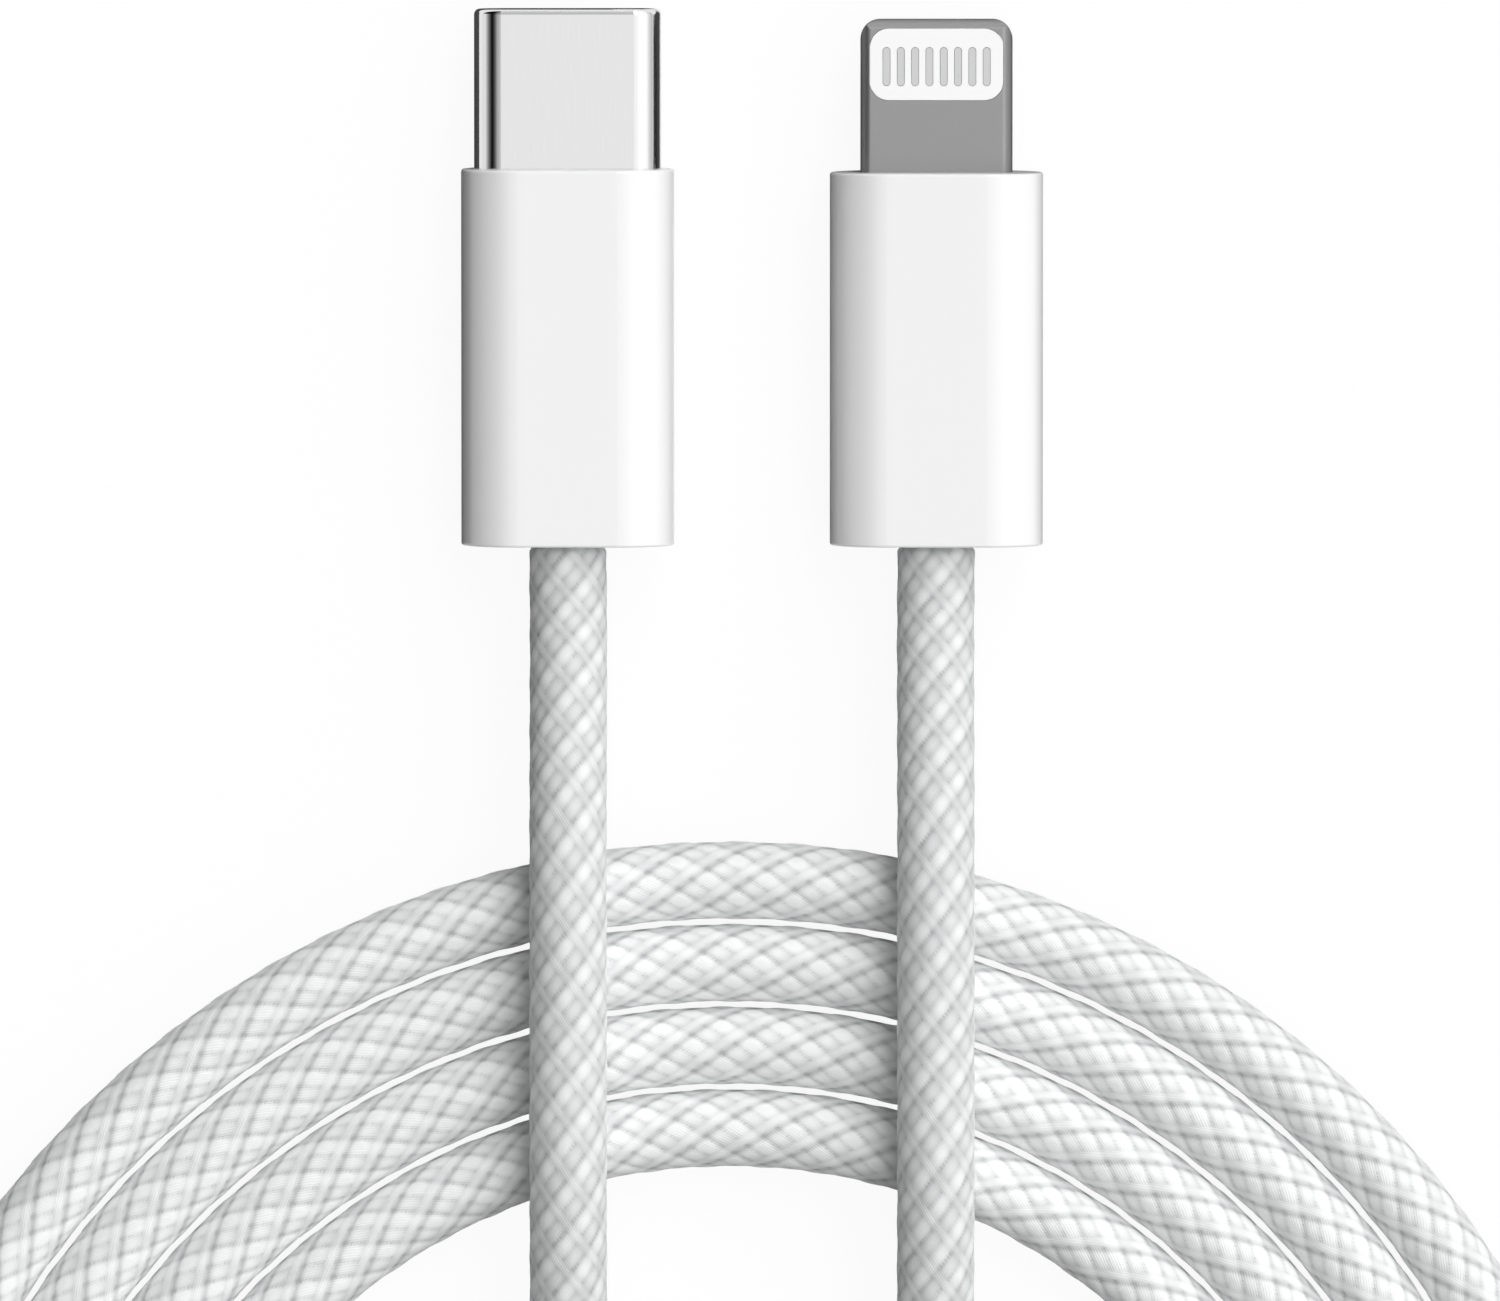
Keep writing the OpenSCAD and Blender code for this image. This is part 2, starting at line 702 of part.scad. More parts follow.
// A coil end runs straight for one cord diameter before the lead meets it
coil_in = coil_point(coil_from) - cord_d * coil_heading(coil_from);
coil_out = coil_point(coil_to) + cord_d * coil_heading(coil_to);

// Sides of a ring, square to the way ahead: the section's points across and up
function ring(at, ahead, section) =
    let (across = unit(cross(ahead, [0, 0, 1])), up = cross(across, ahead))
    [for (p = section) at + p[0] * across + p[1] * up];

function headings(path, first, last) = [
    for (i = [0:len(path) - 1])
        i == 0 ? first : i == len(path) - 1 ? last : unit(path[i + 1] - path[i - 1])
];

// Closed tube through rings of m points each, all faces triangles
module tube(rings) {
    m = len(rings[0]);
    n = len(rings);
    walls = [
        for (i = [0:n - 2], j = [0:m - 1])
            let (a = i * m + j, b = i * m + (j + 1) % m)
            for (face = [[a, b, b + m], [a, b + m, a + m]]) face
    ];
    last = m * (n - 1);
    ends = [
        for (j = [1:m - 2])
            for (face = [[0, j + 1, j], [last, last + j, last + j + 1]]) face
    ];
    polyhedron([for (r = rings) for (p = r) p], concat(walls, ends));
}

// The section of a lead, with eight sides
round_section = [for (a = [0:45:315]) cord_r * [cos(a), sin(a)]];

// The coil's section is flat below and above, and narrower than the gap to the next loop
loop_section = [
    for (p = [[0.5, 0], [0.3, 0.5], [-0.3, 0.5], [-0.5, 0], [-0.3, -0.5], [0.3, -0.5]])
        [p[0] * turn_w, p[1] * cord_d]
];

module lead(start, route, finish, last_heading) {
    path = concat([start], [for (p = route) p + [0, 0, cord_r]], [finish]);
    ahead = headings(path, [0, -1, 0], last_heading);
    tube([for (i = [0:len(path) - 1]) ring(path[i], ahead[i], round_section)]);
}

coil_angles = [for (a = [coil_from:coil_step:coil_to]) a];
coil_rings = concat(
    [ring(coil_in, coil_heading(coil_from), loop_section)],
    [for (a = coil_angles) ring(coil_point(a), coil_heading(a), loop_section)],
    [ring(coil_out, coil_heading(coil_to), loop_section)]
);

// Least distance from any point of a ring to the rings one loop further on
loop_rings = 360 / coil_step;
coil_gap = min([
    for (i = [1:len(coil_angles) - loop_rings - 1], k = [-1:1])
        let (other = coil_rings[min(i + loop_rings + k, len(coil_rings) - 1)])
        for (p = coil_rings[i], q = other) norm(p - q)
]);
echo("Least gap between loops of the coil", coil_gap);

module cord_oval_lead() {
    color("whitesmoke") lead([oval_at[0], rear_y, oval_at[2]], oval_route, coil_in, coil_heading(coil_from));
}

module cord_coil() {
    color("whitesmoke") tube(coil_rings);
}

module cord_tab_lead() {
    color("whitesmoke") lead([tab_at[0], rear_y, tab_at[2]], tab_route, coil_out, -coil_heading(coil_to));
}

oval_plug_housing();
oval_plug_rear_cap();
oval_plug_inner_mould();
oval_plug_shell();
oval_plug_front_insulator();
oval_plug_rear_insulator();
oval_plug_upper_contacts();
oval_plug_lower_contacts();
oval_plug_side_latch();
oval_plug_upper_ground_spring();
oval_plug_lower_ground_spring();
oval_plug_circuit_board();
oval_plug_board_parts();
oval_plug_upper_cover();
oval_plug_lower_cover();
oval_plug_crimp_ring();
oval_plug_cord_end();
oval_plug_wires();
tab_plug_housing();
tab_plug_rear_cap();
tab_plug_inner_mould();
tab_plug_frame();
tab_plug_contact_pad();
tab_plug_upper_contacts();
tab_plug_lower_contacts();
tab_plug_circuit_board();
tab_plug_board_parts();
tab_plug_upper_cover();
tab_plug_lower_cover();
tab_plug_crimp_ring();
tab_plug_cord_end();
tab_plug_wires();
cord_oval_lead();
cord_coil();
cord_tab_lead();
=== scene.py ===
import json
import math

import bpy
import numpy as np
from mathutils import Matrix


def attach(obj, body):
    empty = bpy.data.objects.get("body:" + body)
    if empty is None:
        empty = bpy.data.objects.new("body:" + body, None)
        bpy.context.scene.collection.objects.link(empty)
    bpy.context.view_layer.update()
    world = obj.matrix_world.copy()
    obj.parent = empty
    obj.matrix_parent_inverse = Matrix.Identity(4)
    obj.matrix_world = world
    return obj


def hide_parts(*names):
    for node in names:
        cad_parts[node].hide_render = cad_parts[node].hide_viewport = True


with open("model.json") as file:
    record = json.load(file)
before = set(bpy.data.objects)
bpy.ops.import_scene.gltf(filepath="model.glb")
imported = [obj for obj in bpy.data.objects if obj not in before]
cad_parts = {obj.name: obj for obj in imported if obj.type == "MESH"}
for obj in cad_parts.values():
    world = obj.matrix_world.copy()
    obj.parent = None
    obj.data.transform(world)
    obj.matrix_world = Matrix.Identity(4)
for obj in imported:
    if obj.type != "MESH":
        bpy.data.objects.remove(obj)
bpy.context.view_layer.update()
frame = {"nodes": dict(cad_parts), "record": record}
mm = 0.001


# ---- camera: a long lens almost overhead, leaning a little over the plugs' tips ----
cameraLook = {
    "lens": 500.0,
    "sensor": 36.0,
    "viewWidth": 66.2 * mm,
    "aim": (-0.09 * mm, -16.5 * mm, 2.5 * mm),
    "leanDegrees": 3.45,
    "clip": (0.1, 100),       # nearest and farthest seen, in shares of the distance
}


def makeCamera(look):
    lean = math.radians(look["leanDegrees"])
    distance = look["viewWidth"] * look["lens"] / look["sensor"]
    data = bpy.data.cameras.new("camera")
    data.lens = look["lens"]
    data.sensor_width = look["sensor"]
    data.clip_start, data.clip_end = (share * distance for share in look["clip"])
    camera = bpy.data.objects.new("camera", data)
    x, y, z = look["aim"]
    camera.location = (x, y + distance * math.sin(lean), z + distance * math.cos(lean))
    camera.rotation_euler = (-lean, 0, 0)
    bpy.context.scene.collection.objects.link(camera)
    bpy.context.scene.camera = camera


makeCamera(cameraLook)
print("camera made")


# ---- nodes and meshes ----
def hexLinear(code):
    # sRGB hex to linear: the low end is a straight line, the rest a power of 2.4
    value = np.array([int(code[i:i + 2], 16) for i in (1, 3, 5)]) / 255
    linear = np.where(value <= 0.04045, value / 12.92, ((value + 0.055) / 1.055) ** 2.4)
    return (*linear.tolist(), 1.0)


def addNode(tree, kind, settings=None, links=None):
    # a setting is the node's own property where it has one, and otherwise the value of that input
    node = tree.nodes.new(kind)
    for key, value in (settings or {}).items():
        if isinstance(key, str) and hasattr(node, key):
            setattr(node, key, value)
        else:
            node.inputs[key].default_value = value
    for key, source in (links or {}).items():
        tree.links.new(source, node.inputs[key])
    return node


def newMaterial(name):
    material = bpy.data.materials.new(name)
    material.use_nodes = True
    material.node_tree.nodes.clear()
    return material, material.node_tree


def closeMaterial(tree, shader):
    addNode(tree, "ShaderNodeOutputMaterial", links={"Surface": shader.outputs[0]})


def gridMesh(name, points, normals, attributes, uv):
    # A closed tube from a grid of points, rings by sides. Quads join each ring to the next, and a
    # fan round a centre point closes each end. uv holds one more column than the grid.
    rings, sides = points.shape[:2]
    index = np.arange(rings * sides).reshape(rings, sides)
    ahead = np.roll(index, -1, axis=1)
    quads = np.stack([index[:-1], index[1:], ahead[1:], ahead[:-1]], axis=-1).reshape(-1, 4)
    middle = rings * sides
    first = np.stack([np.full(sides, middle), index[0], ahead[0]], axis=-1)
    last = np.stack([np.full(sides, middle + 1), ahead[-1], index[-1]], axis=-1)
    centres = np.stack([points[0].mean(axis=0), points[-1].mean(axis=0)])
    corners = np.concatenate([quads.ravel(), first.ravel(), last.ravel()])
    sizes = np.concatenate([np.full(len(quads), 4), np.full(2 * sides, 3)])
    mesh = bpy.data.meshes.new(name)
    mesh.vertices.add(middle + 2)
    mesh.vertices.foreach_set("co", np.concatenate([points.reshape(-1, 3), centres]).ravel())
    mesh.loops.add(len(corners))
    mesh.loops.foreach_set("vertex_index", corners)
    mesh.polygons.add(len(sizes))
    mesh.polygons.foreach_set("loop_start", np.concatenate([[0], np.cumsum(sizes)[:-1]]))
    mesh.polygons.foreach_set("use_smooth", np.ones(len(sizes), bool))
    mesh.update(calc_edges=True)
    column = np.arange(sides)
    quadUv = np.stack(
        [uv[:-1, column], uv[1:, column], uv[1:, column + 1], uv[:-1, column + 1]], axis=-2
    ).reshape(-1, 2)
    endUv = np.repeat(uv[[0, -1], 0], 3 * sides, axis=0)
    layer = mesh.uv_layers.new(name="weave")
    layer.data.foreach_set("uv", np.concatenate([quadUv, endUv]).astype(np.float32).ravel())
    for key, value in attributes.items():
        attribute = mesh.attributes.new(key, "FLOAT", "POINT")
        attribute.data.foreach_set("value", np.concatenate([value.ravel(), [0, 0]]).astype(np.float32))
    ends = np.stack([normals[0].mean(axis=0), normals[-1].mean(axis=0)])
    mesh.normals_split_custom_set_from_vertices(np.concatenate([normals.reshape(-1, 3), ends]))
    mesh.validate()
    return mesh


# ---- cord: one woven sleeve from plug to plug, laid out along its real route ----
cord = {
    "diameter": 3.45 * mm,
    "plugSpacing": 16.25 * mm,
    "rearY": -11.825 * mm,
    "axisZ": 2.5 * mm,
    "routeStep": 0.05 * mm,
}
coil = {
    "x": -0.4 * mm,
    "y": -65.5 * mm,
    "innerRadius": 27.8 * mm,
    "turnPitch": 3.66 * mm,
    "squash": 3 * mm,
    "from": -20,              # degrees, counted on through every loop
    "to": 1270,
    "step": 0.5,
    "halfLoops": 8,           # pieces that its sleeve is made in
}
# across, along, and height above where the cord rests, in millimetres
ovalRoute = [
    (-8.1, -15.5, 0.9), (-8.1, -20, 1.9), (-8.1, -24.5, 3.1), (-8.1, -29, 3.6), (-8.1, -34, 3.6),
    (-8.1, -39, 3.6), (-8.1, -44, 2.7), (-8.1, -49, 1.2), (-8.1, -54, 0.2), (-8.1, -59, 0),
    (-8.1, -65, 0), (-8.1, -70.2, 0), (-6.4, -77.2, 0), (-1.9, -82.7, 0), (4.7, -85.6, 0),
    (11.9, -85.3, 0), (18.4, -81.8, 0),
]
tabRoute = [
    (8.1, -15.5, 0.9), (8.1, -20, 1.9), (8.1, -24.5, 3.1), (8.1, -29, 3.6), (8.1, -34, 3.6),
    (8.1, -39, 3.6), (8.1, -44, 2.7), (8.1, -49, 1.2), (8.1, -54, 0.2), (8.1, -59, 0),
    (8.1, -65, 0), (8.1, -71.2, 0.2), (6.9, -78.9, 2), (3.2, -85.7, 3.6), (-2.6, -91, 3.6),
    (-9.7, -94.2, 3.6), (-17.5, -94.9, 3.6), (-25, -93, 3), (-31.6, -88.8, 1.2), (-36.4, -82.7, 0.2),
]


def coilPoints(degrees):
    # A flat spiral: the radius grows by one pitch a turn, and the lower half is squashed a little
    angle = np.radians(degrees)
    radius = coil["innerRadius"] + coil["turnPitch"] * (degrees - 90) / 360
    flat = np.where(np.sin(angle) < 0, coil["squash"], 0)
    x = coil["x"] + radius * np.cos(angle)
    y = coil["y"] + (radius - flat) * np.sin(angle)
    return np.stack([x, y, np.full_like(x, cord["diameter"] / 2)], axis=-1)


def coilHeading(degrees):
    step = coilPoints(np.array([degrees - 0.1, degrees + 0.1]))
    return (step[1] - step[0]) / np.linalg.norm(step[1] - step[0])


def smoothThrough(points, before, after, count=60):
    # Catmull-Rom curve: each span is a cubic whose slope at a point is half the step between its
    # neighbours. before and after are the headings at the two ends.
    points = np.array(points)
    reach = np.linalg.norm(points[1] - points[0]), np.linalg.norm(points[-1] - points[-2])
    knots = np.concatenate([[points[1] - 2 * reach[0] * before], points, [points[-2] + 2 * reach[1] * after]])
    p0, p1, p2, p3 = (knots[i:len(knots) - 3 + i, None] for i in range(4))
    t = np.linspace(0, 1, count, endpoint=False)[None, :, None]
    curve = 0.5 * (2 * p1 + (p2 - p0) * t + (2 * p0 - 5 * p1 + 4 * p2 - p3) * t ** 2
                   + (3 * p1 - p0 - 3 * p2 + p3) * t ** 3)
    return np.concatenate([curve.reshape(-1, 3), points[-1:]])


def leadPoints(side, route, end, endHeading):
    start = np.array([side * cord["plugSpacing"] / 2, cord["rearY"], cord["axisZ"]])
    laid = [np.array(p) * mm + (0, 0, cord["diameter"] / 2) for p in route]
    return smoothThrough([start, *laid, end], np.array([0, -1, 0]), endHeading)


def evenly(points, step):
    # The same line with its points a fixed length apart
    along = np.concatenate([[0], np.cumsum(np.linalg.norm(np.diff(points, axis=0), axis=1))])
    places = np.linspace(0, along[-1], int(round(along[-1] / step)) + 1)
    return np.stack([np.interp(places, along, points[:, k]) for k in range(3)], axis=-1)


def cordRoute():
    # The whole cord as one line, from the oval plug to the tab plug, with the places where it is cut
    inHeading, outHeading = coilHeading(coil["from"]), coilHeading(coil["to"])
    turns = coilPoints(np.arange(coil["from"], coil["to"] + coil["step"] / 2, coil["step"]))
    coilIn = turns[0] - cord["diameter"] * inHeading
    coilOut = turns[-1] + cord["diameter"] * outHeading
    oval = evenly(leadPoints(-1, ovalRoute, coilIn, inHeading), cord["routeStep"])
    wound = evenly(np.concatenate([[coilIn], turns, [coilOut]]), cord["routeStep"])
    tab = evenly(leadPoints(1, tabRoute, coilOut, -outHeading), cord["routeStep"])[::-1]
    line = np.concatenate([oval, wound[1:], tab[1:]])
    return line, len(oval) - 1, len(oval) + len(wound) - 2


# ---- woven sleeve: twelve yarns one way round, plaited with six proud strands the other way ----
weave = {
    "yarns": 12,              # yarn widths in one turn, both ways; a strand comes at every second one
    "leadLay": 12.8 * mm,     # length in which a yarn goes once round, where the cord runs straight
    "coilLay": 15.5 * mm,     # the same in the coil, where the sleeve is pulled longer
    "layChange": 10 * mm,     # length over which the one becomes the other
    "firstNode": 1.7 * mm,    # the yarns are counted from a point this far from the oval plug ...
    "nodeAngle": -8.0,        # ... and this many degrees from straight up
    "shift": (-0.75, 0.13),   # and the first yarns of the two ways begin this many yarns beside it
    "yarnHeight": 0.03 * mm,  # crown of a yarn above its edges
    "proud": 0.018 * mm,      # how much higher every second yarn lies
    "wave": 0.04 * mm,        # how far the yarns rise between the strands that they pass under
    "ridge": 0.075 * mm,      # crown of a strand above the floor of the weave
    "ridgeWidth": 0.45,       # half the width of a strand, in yarn widths
    "sag": 0.022 * mm,        # how far a strand sags where it crosses the lower yarns
    "flatness": 0.6,          # 1 is a round wave of the yarns, less has longer tops
    "pairSeam": 0.022 * mm,   # extra depth between the pairs of yarns
    "openSeam": 0.042 * mm,   # extra depth beside the strands that the pull leaves standing open
    "seamWidth": 0.4,         # half the width of such a seam, in yarn widths
    "crowdShade": 0.25,         # painted shade: how much darker the sleeve's colour is made where it isn't pulled long
    "tuck": 0.3 * mm,         # how far the sleeve is drawn in, and over what length, at a housing
    "sides": 96,
    "ringStep": 0.12 * mm,    # least distance between rings
    "quads": 98000,           # most quads in one piece, which keeps it under 200,000 triangles
    "pathEvery": 4,           # a step in rings
}
weave["top"] = weave["yarnHeight"] + weave["proud"] + weave["wave"]


def weaveHeight(a, b, crowd):
    # a and b count the yarns of the two ways, and crowd is 0 where the sleeve is pulled long, 1
    # where it isn't. A crown is 1 less the cube of the way out from the middle. The yarns' middles
    # follow a cosine along their length, raised to the power of the flatness, and every second one
    # lies higher. The strands of the other way lie over them at each second count, and sag with a
    # sine. The higher of the two shows, less square-law seams between the pairs of yarns and beside
    # the strands.
    a, b = a + weave["shift"][0], b + weave["shift"][1]

    def fromEven(count):
        return np.abs(np.mod(count + 1, 2) - 1)

    def seam(away):
        return (1 - np.minimum(away / weave["seamWidth"], 1)) ** 2

    crown = 1 - np.abs(2 * np.mod(a, 1) - 1) ** 3
    lie = weave["proud"] * (np.mod(np.floor(a), 2) == 0)
    rise = ((1 - np.cos(math.pi * b)) / 2) ** weave["flatness"]
    yarn = weave["yarnHeight"] * crown + lie + weave["wave"] * rise
    strand = weave["ridge"] * (1 - np.minimum(fromEven(b) / weave["ridgeWidth"], 1) ** 3)
    strand -= weave["sag"] * (1 - np.sin(math.pi * a)) / 2
    height = np.maximum(yarn, strand) - weave["pairSeam"] * seam(fromEven(a))
    height = height - weave["openSeam"] * (1 - crowd) * seam(fromEven(b - 0.5))
    return height, yarn > strand


def unitRows(vectors):
    return vectors / np.linalg.norm(vectors, axis=-1, keepdims=True)


def sleevePiece(name, line, turns, first, last, step):
    # Rings along the line from sample first to sample last, square to it. A ring's points lie at the
    # cord's radius less the depth of the weave there, at even angles from straight up.
    count = int(round((last - first) * cord["routeStep"] / step)) + 1
    places = np.linspace(first, last, count)
    before = places[0] - (places[1] - places[0])
    after = places[-1] + (places[-1] - places[-2])
    places = np.concatenate([[before], places, [after]])
    sample = np.arange(len(line))
    ahead = unitRows(np.gradient(line, axis=0))
    centre = np.stack([np.interp(places, sample, line[:, k]) for k in range(3)], axis=-1)
    ahead = unitRows(np.stack([np.interp(places, sample, ahead[:, k]) for k in range(3)], axis=-1))
    across = unitRows(np.cross(np.array([0, 0, 1.0]), ahead))
    up = np.cross(ahead, across)
    turn = np.interp(places, sample, turns)[:, None]
    angle = np.linspace(0, 2 * math.pi, weave["sides"], endpoint=False)[None, :]
    node = math.radians(weave["nodeAngle"])
    around = (angle - node) / (2 * math.pi) * weave["yarns"]
    # the lay there, which counts as endless at a ring past the cord's own end
    rate = np.gradient(turn[:, 0], places * cord["routeStep"])
    lay = np.divide(weave["yarns"], rate, out=np.full_like(rate, np.inf), where=rate > 0)
    crowd = np.clip((weave["coilLay"] - lay) / (weave["coilLay"] - weave["leadLay"]), 0, 1)[:, None]
    height, overA = weaveHeight(around + turn, around - turn, crowd)
    top = weave["top"]
    # it is drawn in by a square law over the last stretch before a housing
    nearest = np.minimum(places, len(line) - 1 - places)[:, None] * cord["routeStep"]
    drawn = weave["tuck"] * np.clip(1 - nearest / weave["tuck"], 0, 1) ** 2
    radius = (cord["diameter"] / 2 - top + height - drawn)[..., None]
    out = np.cos(angle)[..., None] * up[:, None] + np.sin(angle)[..., None] * across[:, None]
    points = centre[:, None] + radius * out
    alongStep = points[2:] - points[:-2]
    roundStep = np.roll(points, -1, axis=1)[1:-1] - np.roll(points, 1, axis=1)[1:-1]
    normals = unitRows(np.cross(alongStep, roundStep))
    column = np.arange(weave["sides"] + 1) / weave["sides"] * weave["yarns"]
    uv = np.stack(np.broadcast_arrays(column[None] + turn[1:-1], column[None] - turn[1:-1]), axis=-1)
    # depth feeds the painted shade of the material: how far the weave lies below its top, plus extra painted
    # shade where the sleeve is crowded
    attributes = {
        "depth": (top - height[1:-1]) / top + weave["crowdShade"] * crowd[1:-1],
        "overA": overA[1:-1].astype(float),
    }
    mesh = gridMesh(name, points[1:-1], normals, attributes, uv)
    piece = bpy.data.objects.new(name, mesh)
    bpy.context.scene.collection.objects.link(piece)
    return piece, centre[1:-1]


def yarnTurns(count, coilStart, coilEnd):
    # How many yarn widths the plait has turned at each sample: the sum of the yarns over the
    # lay, which changes with a smooth step, 3t^2 - 2t^3, where the coil begins and ends
    sample = np.arange(count) * cord["routeStep"]
    near = [sample - coilStart * cord["routeStep"], coilEnd * cord["routeStep"] - sample]
    share = [np.clip(way / weave["layChange"] + 0.5, 0, 1) for way in near]
    share = [t * t * (3 - 2 * t) for t in share]
    lay = weave["leadLay"] + (weave["coilLay"] - weave["leadLay"]) * share[0] * share[1]
    turned = np.cumsum(weave["yarns"] / lay) * cord["routeStep"]
    return turned - np.interp(weave["firstNode"], sample, turned)


def makeCords():
    line, coilStart, coilEnd = cordRoute()
    turns = yarnTurns(len(line), coilStart, coilEnd)
    cuts = np.linspace(coilStart, coilEnd, coil["halfLoops"] + 1)
    parts = [("sleeve_oval_lead", 0, coilStart, "cord_oval_lead")]
    for k in range(coil["halfLoops"]):
        parts.append((f"sleeve_half_loop_{k + 1}", cuts[k], cuts[k + 1], "cord_coil"))
    parts += [("sleeve_tab_lead", coilEnd, len(line) - 1, "cord_tab_lead")]
    made = []
    for name, first, last, node in parts:
        length = (last - first) * cord["routeStep"]
        step = max(weave["ringStep"], length * weave["sides"] / weave["quads"])
        piece, centre = sleevePiece(name, line, turns, first, last, step)
        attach(piece, "root")
        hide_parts(node)
        made.append(piece)
    print("cords made:", len(made), "pieces,", round(len(line) * cord["routeStep"], 3), "m")
    return made


sleeves = makeCords()


# ---- materials ----
def wovenPolyester():
    # Polyester yarns, plaited tight and heat set: a soft neutral white, a dull sheen on the
    # crowns, painted shade in the gaps that greys the colour where the weave lies deeper, and fine filaments
    # that lean a little across each yarn
    look = {
        "yarn": "#FAFBFB", "gap": "#B6B8B9", "shadeFrom": 0.15, "shadeTo": 1.0, "mottle": (0.93, 1.05),
        "filamentMm": 0.11, "yarnMm": 0.68, "filamentLean": 0.12, "filamentDepth": 0.02 * mm,
        "lintMm": 0.5, "lintDepth": 0.03 * mm, "roughness": 0.78, "sheen": 0.4,
    }
    material, tree = newMaterial("wovenPolyester")
    uv = addNode(tree, "ShaderNodeUVMap", {"uv_map": "weave"})
    counts = addNode(tree, "ShaderNodeSeparateXYZ", links={0: uv.outputs[0]})
    over = addNode(tree, "ShaderNodeAttribute", {"attribute_name": "overA"})
    depth = addNode(tree, "ShaderNodeAttribute", {"attribute_name": "depth"})
    filaments = look["yarnMm"] / look["filamentMm"] * 2 * math.pi
    waves = []
    for own, other in ((0, 1), (1, 0)):
        lean = addNode(
            tree, "ShaderNodeMath", {"operation": "MULTIPLY", 1: look["filamentLean"]},
            {0: counts.outputs[other]},
        )
        count = addNode(
            tree, "ShaderNodeMath", {"operation": "ADD"},
            {0: counts.outputs[own], 1: lean.outputs[0]},
        )
        scaled = addNode(
            tree, "ShaderNodeMath", {"operation": "MULTIPLY", 1: filaments},
            {0: count.outputs[0]},
        )
        waves.append(addNode(tree, "ShaderNodeMath", {"operation": "SINE"}, {0: scaled.outputs[0]}))
    fibre = addNode(
        tree, "ShaderNodeMix", {"data_type": "FLOAT"},
        {0: over.outputs["Fac"], 2: waves[1].outputs[0], 3: waves[0].outputs[0]},
    )
    place = addNode(tree, "ShaderNodeTexCoord")
    lint = addNode(
        tree, "ShaderNodeTexNoise", {"Scale": 1 / (look["lintMm"] * mm), "Detail": 3.0},
        {0: place.outputs["Object"]},
    )
    # painted shade: the colour goes from the yarn's white to grey as the depth attribute grows, in the gaps
    # of the weave and more on the crowded leads
    ramp = addNode(tree, "ShaderNodeValToRGB", links={0: depth.outputs["Fac"]})
    crown, gap = ramp.color_ramp.elements
    crown.position, crown.color = look["shadeFrom"], hexLinear(look["yarn"])
    gap.position, gap.color = look["shadeTo"], hexLinear(look["gap"])
    mottle = addNode(
        tree, "ShaderNodeMapRange", {"To Min": look["mottle"][0], "To Max": look["mottle"][1]},
        {0: lint.outputs[0]},
    )
    colour = addNode(
        tree, "ShaderNodeVectorMath", {"operation": "SCALE"},
        {0: ramp.outputs[0], "Scale": mottle.outputs[0]},
    )
    bump = addNode(
        tree, "ShaderNodeBump", {"Strength": 0.25, "Distance": look["filamentDepth"]},
        {"Height": fibre.outputs[0]},
    )
    fur = addNode(
        tree, "ShaderNodeBump", {"Strength": 0.3, "Distance": look["lintDepth"]},
        {"Height": lint.outputs[0], "Normal": bump.outputs[0]},
    )
    shader = addNode(
        tree, "ShaderNodeBsdfPrincipled",
        {"Roughness": look["roughness"], "Sheen Weight": look["sheen"], "Sheen Roughness": 0.4},
        {"Base Color": colour.outputs[0], "Normal": fur.outputs[0]},
    )
    closeMaterial(tree, shader)
    return material


# what all mouldings share: length of the flow marks, spread of the roughness and depth of the grain
moulding = {"flow": 6 * mm, "roughness": 0.04, "grainDepth": 0.01 * mm}


def mouldedPlastic(name, look):
    # Moulded thermoplastic: an even colour with a faint flow mottle, and the fine grain of the tool
    material, tree = newMaterial(name)
    place = addNode(tree, "ShaderNodeTexCoord")
    flow = addNode(
        tree, "ShaderNodeTexNoise", {"Scale": 1 / moulding["flow"], "Detail": 2.0},
        {0: place.outputs["Object"]},
    )
    grain = addNode(
        tree, "ShaderNodeTexNoise", {"Scale": 1 / (look["grainMm"] * mm), "Detail": 2.0},
        {0: place.outputs["Object"]},
    )
    tone = addNode(
        tree, "ShaderNodeMapRange", {"To Min": 1 - look["mottle"], "To Max": 1 + look["mottle"]},
        {0: flow.outputs[0]},
    )
    colour = addNode(
        tree, "ShaderNodeVectorMath", {"operation": "SCALE", 0: hexLinear(look["colour"])[:3]},
        {"Scale": tone.outputs[0]},
    )
    least, most = (look["roughness"] + way * moulding["roughness"] for way in (-1, 1))
    rough = addNode(tree, "ShaderNodeMapRange", {"To Min": least, "To Max": most}, {0: grain.outputs[0]})
    bump = addNode(
        tree, "ShaderNodeBump", {"Strength": look["bump"], "Distance": moulding["grainDepth"]},
        {"Height": grain.outputs[0]},
    )
    shader = addNode(
        tree, "ShaderNodeBsdfPrincipled", {"IOR": look["ior"]},
        {"Base Color": colour.outputs[0], "Roughness": rough.outputs[0], "Normal": bump.outputs[0]},
    )
    closeMaterial(tree, shader)
    return material


# what all worked metals share: depth of the lines, and spread of the tone and the roughness
working = {"lineDepth": 0.004 * mm, "tone": (0.97, 1.03), "roughness": (0.8, 1.2)}


